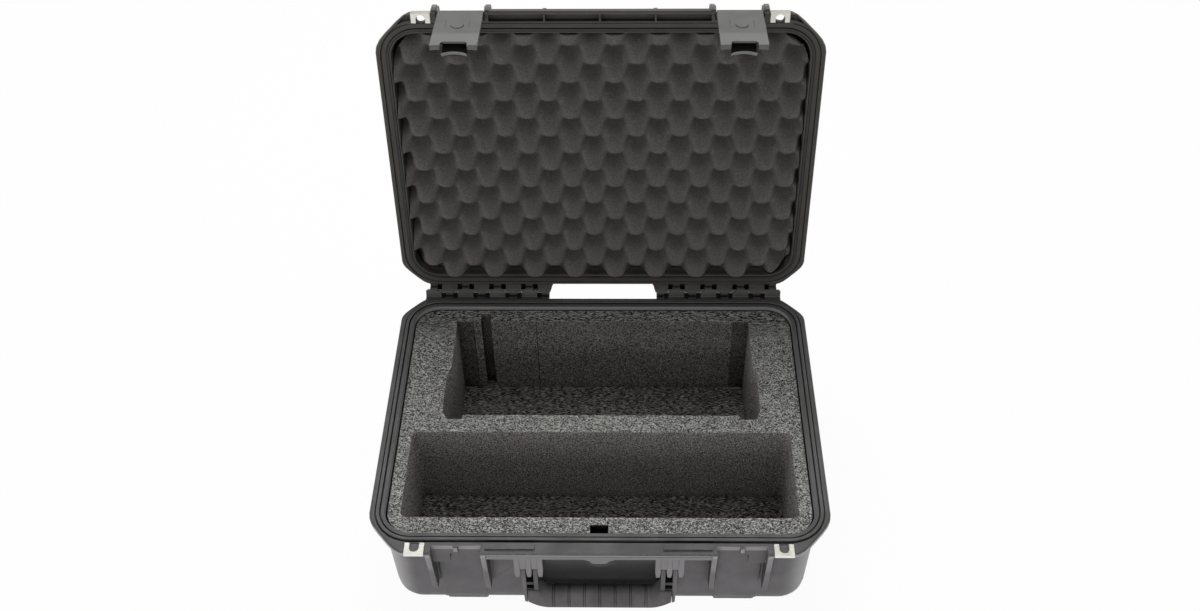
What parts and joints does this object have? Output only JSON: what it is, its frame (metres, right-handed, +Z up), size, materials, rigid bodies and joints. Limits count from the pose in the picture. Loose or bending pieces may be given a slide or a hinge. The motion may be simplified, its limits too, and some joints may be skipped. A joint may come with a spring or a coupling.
{
  "type": "mixer hard case",
  "caption": "Moulded hard case standing open, with a hinged lid, sprung-trigger latches, a folding handle and cut foam for a mixer.",
  "frame": {"origin": "on the floor under the middle of the base's rim", "axes": "+Z up, -Y towards the handle and latches, +X to the right seen from the front; the lid stands open"},
  "size_m": [0.506, 0.4781, 0.5464],
  "materials": {
    "case_plastic": "fine moulded texture, charcoal grey",
    "lid_plastic": "fine moulded texture, charcoal grey",
    "latch_plastic": "satin, mid grey",
    "trigger_plastic": "satin, near black",
    "grip_rubber": "soft matte, charcoal",
    "seal_rubber": "matte black",
    "steel": "bright satin",
    "block_foam": "cut closed-cell foam, speckled grey top",
    "floor_foam": "cut closed-cell foam, dark",
    "egg_foam": "soft convoluted foam, charcoal brown"
  },
  "bodies": {
    "base": {"base_shell": "case_plastic", "base_foam_block": "block_foam", "base_foam_floor": "floor_foam", "hinge_pin_left": "steel", "hinge_pin_right": "steel", "handle_pin_left": "steel", "handle_pin_right": "steel", "padlock_plate_base_left": "steel", "padlock_plate_base_right": "steel", "valve_body": "case_plastic", "valve_cap": "trigger_plastic", "valve_seal": "seal_rubber", "valve_nut": "trigger_plastic"},
    "lid": {"lid_shell": "lid_plastic", "lid_gasket": "seal_rubber", "lid_foam": "egg_foam", "latch_pin_left": "steel", "latch_pin_right": "steel", "padlock_plate_lid_left": "steel", "padlock_plate_lid_right": "steel"},
    "latch_left": {"latch_plate_left": "latch_plastic", "trigger_pin_left": "steel", "trigger_spring_left": "steel"},
    "latch_right": {"latch_plate_right": "latch_plastic", "trigger_pin_right": "steel", "trigger_spring_right": "steel"},
    "trigger_left": {"latch_trigger_left": "trigger_plastic"},
    "trigger_right": {"latch_trigger_right": "trigger_plastic"},
    "handle": {"handle_frame": "case_plastic", "handle_grip": "grip_rubber"}
  },
  "joints": [
    {"name": "lid_hinge", "type": "hinge", "parent": "base", "child": "lid", "pos_m": [0, 0.195, 0.152], "axis": [1, 0, 0], "range_deg": [0, 97.6]},
    {"name": "latch_left_swing", "type": "hinge", "parent": "lid", "child": "latch_left", "pos_m": [-0.154, 0.25887, 0.52483], "axis": [-1, 0, 0], "range_deg": [0, 90]},
    {"name": "trigger_left_pull", "type": "hinge", "parent": "latch_left", "child": "trigger_left", "pos_m": [-0.154, 0.19591, 0.53686], "axis": [-1, 0, 0], "range_deg": [0, 15], "stiffness_Nm_per_rad": 0.12, "springref_deg": -11.46},
    {"name": "latch_right_swing", "type": "hinge", "parent": "lid", "child": "latch_right", "pos_m": [0.154, 0.25887, 0.52483], "axis": [-1, 0, 0], "range_deg": [0, 90]},
    {"name": "trigger_right_pull", "type": "hinge", "parent": "latch_right", "child": "trigger_right", "pos_m": [0.154, 0.19591, 0.53686], "axis": [-1, 0, 0], "range_deg": [0, 15], "stiffness_Nm_per_rad": 0.12, "springref_deg": -11.46},
    {"name": "handle_swing", "type": "hinge", "parent": "base", "child": "handle", "pos_m": [0, -0.185, 0.111], "axis": [-1, 0, 0], "range_deg": [0, 90]}
  ]
}
